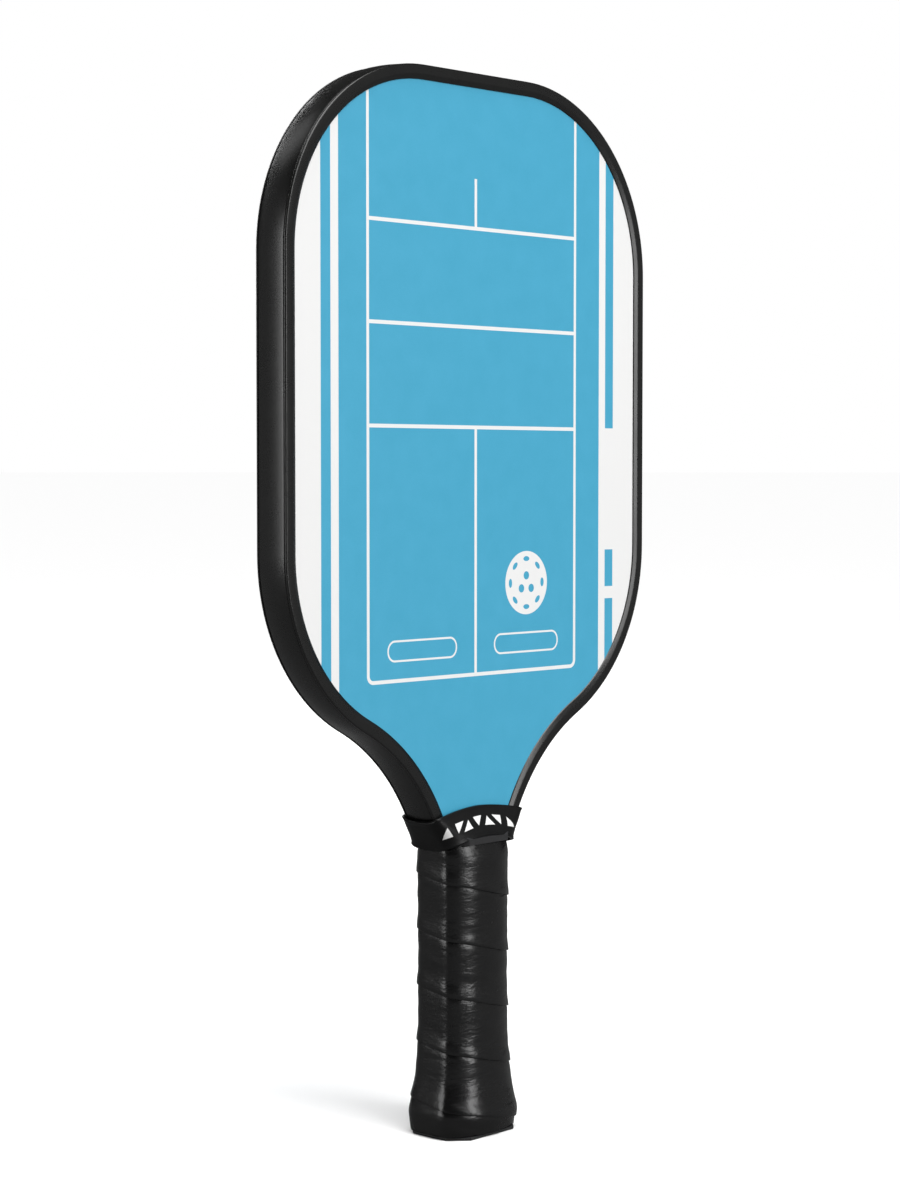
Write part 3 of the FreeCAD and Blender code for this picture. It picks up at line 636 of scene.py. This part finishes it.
def tape_place(bearing, across):
    """A point of the tape, wound clockwise and downwards as seen from above."""
    turns = (bearing - front_bearing) / math.tau
    z = front_seam - tape_pitch * turns + across
    growth = handle_growth(z)
    half_width, half_depth = (half + growth for half in grip_half)
    half_depth -= taper_depth * smooth((z - taper_start) / (taper_end - taper_start))
    corner = grip_corner + swell_corner_share * growth
    edge = math.cos(bearing) * flat_sided(bearing, half_width, half_depth, corner, face_softness)
    crown = face_crown * (1 - 2 * min((edge / half_width) ** 2 * 2, 1.0))
    reach = flat_sided(bearing, half_width, half_depth + crown, corner + crown, face_softness)
    reach += lap(across)
    spot = Vector((math.cos(bearing) * reach, math.sin(bearing) * reach, z))
    ripple = noise.noise(spot * ripple_scale)
    fold = noise.noise(spot * fold_scale + fold_start)
    reach += crease_depth * (ripple + fold_share * fold)
    return Vector((math.cos(bearing) * reach, math.sin(bearing) * reach, z))


def face_outwards(shape):
    """Makes the faces of an open sleeve agree, then turns them all away from its axis."""
    bmesh.ops.recalc_face_normals(shape, faces=shape.faces)
    level = Vector((1, 1, 0))
    outwards = sum(face.normal.dot(face.calc_center_median() * level) for face in shape.faces)
    if outwards < 0:
        bmesh.ops.reverse_faces(shape, faces=shape.faces)


def give_wall(piece, thickness):
    """Thickens a piece inwards from its outer face."""
    wall = piece.modifiers.new("wall", "SOLIDIFY")
    wall.thickness = thickness
    wall.offset = -1


def build_tape():
    """Winds a flat grid round the handle, then trims it level at both ends."""
    rows_at = [0.0, 0.04 * mm, 0.14 * mm, edge_radius]
    rows_at += [
        edge_radius + (tape_width - edge_radius) * (row + 1) / spread_rows
        for row in range(spread_rows)
    ]
    first_turn = (front_seam - tape_top) / tape_pitch - spare_turn
    last_turn = (front_seam - tape_bottom + tape_width) / tape_pitch + spare_turn
    columns = round((last_turn - first_turn) * steps_a_turn)
    shape = bmesh.new()
    bmesh.ops.create_grid(shape, x_segments=columns, y_segments=len(rows_at) - 1, size=1)
    for vert in shape.verts:
        step = round((vert.co.x + 1) / 2 * columns)
        row = round((vert.co.y + 1) / 2 * (len(rows_at) - 1))
        turn = first_turn + step / steps_a_turn
        vert.co = tape_place(front_bearing + turn * math.tau, rows_at[row])
    for height, upwards in ((tape_bottom, -1), (tape_top, 1)):
        bmesh.ops.bisect_plane(
            shape, geom=shape.verts[:] + shape.edges[:] + shape.faces[:],
            plane_co=(0, 0, height), plane_no=(0, 0, upwards), clear_outer=True,
        )
    face_outwards(shape)
    return shape


def make_grip_leather():
    """Satin synthetic leather: a fine pebble, broad gloss changes and soft stretch lines."""
    material, tree, shader = new_material("grip_leather", {"Specular IOR Level": 0.5})
    place = add_node(tree, "ShaderNodeTexCoord").outputs["Object"]
    black, worn = (0.0042, 0.0042, 0.0043), (0.0022, 0.0022, 0.0023)
    surface = add_grain(tree, place, black, worn, roughness=0.25, spread=0.2, scale=900)
    paint(tree, shader, surface["Color"], surface["Roughness"])
    pebble = add_node(tree, "ShaderNodeTexVoronoi", {
        "Vector": place, "Scale": pebbles_a_metre,
    }, feature="SMOOTH_F1").outputs["Distance"]
    draw = {"Vector": place, "Scale": (1, 1, stretch_draw)}
    drawn = add_node(tree, "ShaderNodeMapping", draw).outputs[0]
    lines = add_node(tree, "ShaderNodeTexNoise", {
        "Vector": drawn, "Scale": stretch_lines_a_metre, "Detail": 4.0, "Distortion": 0.4,
    }).outputs["Fac"]
    height = calculate(tree, "MULTIPLY_ADD", lines, stretch_weight, pebble)
    raise_surface(tree, shader, height, 0.03 * mm)
    return material


tape = place_piece(build_tape(), "wound_tape", make_grip_leather(), sharp=60)
give_wall(tape, tape_thickness)
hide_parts("grip_tape")


# ---- The collar ----
# A moulded elastic band, stretched from the grip's end over the ends of the guard. Its edges are
# beaded and arch up over each face, and a plain row of white triangles is printed on its front.

collar_sides = 216
collar_rows = 20
collar_foot = (19.0 * mm, 15.0 * mm, 5.4 * mm)
collar_crown = (27.4 * mm, 9.05 * mm, 1.9 * mm)
collar_span = (111.5 * mm, 125.5 * mm)
flare_ease = 0.3
lower_side, lower_front = 110.5 * mm, 116.1 * mm
upper_side, upper_front = 121.8 * mm, 127.0 * mm
lower_arch, upper_arch = 2.4, 4.0
arch_fall = 5.2
collar_bead = 0.34 * mm
bead_width = 1.2 * mm
collar_wall = 1.3 * mm
collar_softness, collar_firming = 6, 26
ring_squash = 0.55


def collar_reach(bearing, z):
    """How far the band's outer face stands off the middle in a direction, at a height."""
    share = min(max((z - collar_span[0]) / (collar_span[1] - collar_span[0]), -0.1), 1.1)
    share += flare_ease * (smooth(share) - share)
    sizes = [foot + (crown - foot) * share for foot, crown in zip(collar_foot, collar_crown)]
    return flat_sided(bearing, *sizes, collar_softness + collar_firming * max(share, 0.0) ** 3)


def collar_edge(bearing, side, front, arch):
    """The height of an edge, which climbs from the band's side and arches over each face."""
    c, s = math.cos(bearing), math.sin(bearing)
    reach = collar_reach(bearing, (side + front) / 2)
    half_depth = collar_reach(front_bearing, (side + front) / 2)
    facing = min(abs(s) * reach / half_depth, 1.0)
    return side + (front - arch_fall * (c * reach) ** 2 - side) * facing**arch


def collar_place(bearing, share):
    """A point of the band's outer face, from its lower edge (0) to its upper edge (1)."""
    low_z = collar_edge(bearing, lower_side, lower_front, lower_arch)
    high_z = collar_edge(bearing, upper_side, upper_front, upper_arch)
    z = low_z + (high_z - low_z) * share
    rim = min(share, 1 - share) * (high_z - low_z)
    reach = collar_reach(bearing, z) + collar_bead * (1 - smooth(rim / bead_width))
    return Vector((math.cos(bearing) * reach, math.sin(bearing) * reach, z))


def band_length(bearing, steps=24):
    """How far along the band's middle a bearing lies from the front, growing towards +X."""
    turn = (bearing - front_bearing + math.pi) % math.tau - math.pi
    spots = [collar_place(front_bearing + turn * step / steps, 0.5) for step in range(steps + 1)]
    length = sum((after - before).length for before, after in zip(spots, spots[1:]))
    return math.copysign(length, turn)


def build_collar():
    """Draws a ring upwards row by row and shapes it. Its map runs in millimetres along the band
    and from 0 to 1 up it, for the print.
    """
    shape = bmesh.new()
    bmesh.ops.create_circle(shape, segments=collar_sides, radius=1)
    edges = shape.edges[:]
    for row in range(collar_rows):
        edges = drag(shape, edges, (0, 0, 1 / collar_rows))
    shape.verts.index_update()
    along, rows = [], []
    for vert in shape.verts:
        bearing = math.atan2(vert.co.y * ring_squash, vert.co.x)
        along.append(band_length(bearing) / mm)
        rows.append(vert.co.z)
        vert.co = collar_place(bearing, vert.co.z)
    band = shape.loops.layers.uv.new("band")
    for face in shape.faces:
        for loop in face.loops:
            loop[band].uv = (along[loop.vert.index], rows[loop.vert.index])
    face_outwards(shape)
    return shape


triangle_width = 5.8
triangle_shift = 3.0
triangle_foot, triangle_top = 0.32, 0.67
triangle_reach = 20.3
triangle_gap = 0.07
triangle_count_up = 101.5
triangle_crispness, margin_crispness = 16.0, 24.0


def make_collar_rubber():
    """Satin black rubber with a row of white triangles, up and down, printed across the front."""
    material, tree, shader = new_material("collar_rubber", {"Specular IOR Level": 0.22})
    place, axes = object_place(tree)
    band = add_node(tree, "ShaderNodeUVMap", uv_map="band").outputs["UV"]
    spot = add_node(tree, "ShaderNodeSeparateXYZ", {0: band}).outputs
    black, worn = (0.0045, 0.0045, 0.0046), (0.0028, 0.0028, 0.0029)
    surface = add_grain(tree, place, black, worn, roughness=0.4, spread=0.2, scale=1500)

    along = calculate(tree, "ADD", spot["X"], triangle_shift)
    counted = calculate(tree, "DIVIDE", along, triangle_width)
    cells = calculate(tree, "ADD", counted, triangle_count_up)
    turned = calculate(tree, "MODULO", calculate(tree, "FLOOR", cells), 2.0)
    middle = calculate(tree, "SUBTRACT", calculate(tree, "FRACT", cells), 0.5)
    slope = calculate(tree, "MULTIPLY_ADD", calculate(tree, "ABSOLUTE", middle), -2.0, 1.0)
    height = triangle_top - triangle_foot
    up = calculate(tree, "DIVIDE", calculate(tree, "SUBTRACT", spot["Y"], triangle_foot), height)
    tall = calculate(tree, "ABSOLUTE", calculate(tree, "SUBTRACT", turned, up))
    ink = calculate(tree, "SUBTRACT", calculate(tree, "SUBTRACT", slope, tall), triangle_gap)
    ink = calculate(tree, "MULTIPLY", ink, triangle_crispness, clamp=True)

    off_middle = calculate(tree, "ABSOLUTE", calculate(tree, "SUBTRACT", up, 0.5))
    in_row = calculate(tree, "SUBTRACT", 0.5, off_middle)
    in_reach = calculate(tree, "SUBTRACT", triangle_reach, calculate(tree, "ABSOLUTE", along))
    in_front = calculate(tree, "MULTIPLY", axes["Y"], -1 / mm)
    for margin in (in_row, in_reach, in_front):
        inside = calculate(tree, "MULTIPLY", margin, margin_crispness, clamp=True)
        ink = calculate(tree, "MULTIPLY", ink, inside)
    colour = mix_colours(tree, ink, surface["Color"], (0.80, 0.80, 0.79, 1))
    paint(tree, shader, colour, surface["Roughness"])
    raise_surface(tree, shader, surface["Height"], 0.03 * mm)
    return material


rubber = make_collar_rubber()
collar = place_piece(build_collar(), "elastic_collar", rubber, sharp=50)
give_wall(collar, collar_wall)
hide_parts("collar_band")


# ---- The butt cap and its badge ----
# A moulded cap carries the tape's swell, and a bare satin disc is pressed into its base.

cap_plastic = grained(
    "cap_plastic", (0.03, 0.03, 0.031), (0.018, 0.018, 0.0185),
    roughness=0.5, spread=0.2, scale=1800, depth=0.04 * mm,
)
dress(cap_plastic, "butt_cap")
ring_pitch = 1.2 * mm


def make_badge_plastic():
    """Satin plastic turned in fine rings about its middle."""
    material, tree, shader = new_material("badge_plastic")
    axes = object_place(tree)[1]
    squares = [calculate(tree, "MULTIPLY", axes[axis], axes[axis]) for axis in ("X", "Y")]
    radius = calculate(tree, "SQRT", calculate(tree, "ADD", *squares))
    rings = calculate(tree, "SINE", calculate(tree, "MULTIPLY", radius, math.tau / ring_pitch))
    shade = calculate(tree, "MULTIPLY_ADD", rings, 0.5, 0.5)
    tint = mix_colours(tree, shade, (0.05, 0.05, 0.052, 1), (0.075, 0.075, 0.078, 1))
    paint(tree, shader, tint, calculate(tree, "MULTIPLY_ADD", shade, 0.12, 0.3))
    raise_surface(tree, shader, shade, 0.06 * mm)
    return material


dress(make_badge_plastic(), "butt_badge")


# ---- The floor and the light ----
# A plain pale floor, lit by one broad soft light from overhead and a ring of soft lamps. The eye
# sees floor and sky as white, while both stay dim in the paddle's gloss, as in a dark studio.

floor_half = 400
floor_mesh = bpy.data.meshes.new("floor")
floor_shape = bmesh.new()
bmesh.ops.create_grid(floor_shape, x_segments=1, y_segments=1, size=floor_half)
floor_shape.to_mesh(floor_mesh)
floor_shape.free()
floor_material, floor_tree, floor_shader = new_material("floor_paint", {"Roughness": 0.9})
seen = add_node(floor_tree, "ShaderNodeLightPath").outputs["Is Camera Ray"]
floor_dim, floor_white = (0.12, 0.12, 0.12, 1), (0.95, 0.95, 0.95, 1)
floor_tint = mix_colours(floor_tree, seen, floor_dim, floor_white)
floor_tree.links.new(floor_tint, floor_shader.inputs["Base Color"])
floor_mesh.materials.append(floor_material)
floor = bpy.data.objects.new("floor", floor_mesh)
scene.collection.objects.link(floor)

sky = bpy.data.worlds.new("studio")
sky.use_nodes = True
sky_glow = 0.03
seen = add_node(sky.node_tree, "ShaderNodeLightPath").outputs["Is Camera Ray"]
glow = calculate(sky.node_tree, "MULTIPLY_ADD", seen, 1 - sky_glow, sky_glow)
sky.node_tree.links.new(glow, sky.node_tree.nodes["Background"].inputs["Strength"])
sky.node_tree.nodes["Background"].inputs["Color"].default_value = (1, 1, 1, 1)
scene.world = sky
scene.view_settings.view_transform = "Standard"


def add_lamp(name, bearing, distance, height, size, radiance, aim=0.2):
    """A soft lamp at a bearing, anticlockwise from +X, that faces the paddle."""
    turn = math.radians(bearing)
    place = Vector((distance * math.cos(turn), distance * math.sin(turn), height))
    lamp = bpy.data.lights.new(name, "AREA")
    lamp.shape = "RECTANGLE"
    lamp.size, lamp.size_y = size
    lamp.energy = radiance * math.pi * size[0] * size[1]
    holder = bpy.data.objects.new(name, lamp)
    holder.location = place
    holder.rotation_euler = (Vector((0, 0, aim)) - place).to_track_quat("-Z", "Y").to_euler()
    holder.visible_camera = False
    scene.collection.objects.link(holder)


overhead = bpy.data.lights.new("overhead", "SUN")
overhead.energy = 3.5
overhead.angle = math.radians(50)
overhead_holder = bpy.data.objects.new("overhead", overhead)
overhead_holder.rotation_euler = (math.radians(15), math.radians(-4), 0)
scene.collection.objects.link(overhead_holder)

add_lamp("key", -94, 1.5, 1.5, (1.0, 1.0), 4.8)
add_lamp("front_strip", -79, 2.2, 0.45, (0.66, 1.9), 6.5)
add_lamp("left_strip", 158, 2.2, 0.35, (0.6, 1.3), 5.0)
add_lamp("left_wash", 132, 3.0, 0.9, (2.2, 2.2), 0.18)
add_lamp("right_wash", -38, 3.0, 0.9, (2.4, 2.2), 0.22)
add_lamp("shoulder", 110, 1.3, 1.6, (0.6, 0.6), 1.1)
add_lamp("back_key", 78, 2.0, 0.95, (1.0, 1.0), 8.0)


# ---- The camera ----
# It stands to the front left of the paddle, a little above the middle of its height, and looks
# slightly down through a long lens.

camera_place = Vector((-0.73635, -0.67187, 0.25532))
camera_bearing = math.radians(47.337)
camera_dip = math.radians(2.848)
camera = bpy.data.cameras.new("camera")
camera.sensor_fit = "VERTICAL"
camera.sensor_height = 36
camera.lens = 77.73
camera_stand = bpy.data.objects.new("camera", camera)
camera_stand.location = camera_place
camera_stand.rotation_euler = (math.pi / 2 - camera_dip, 0, -camera_bearing)
scene.collection.objects.link(camera_stand)
scene.camera = camera_stand
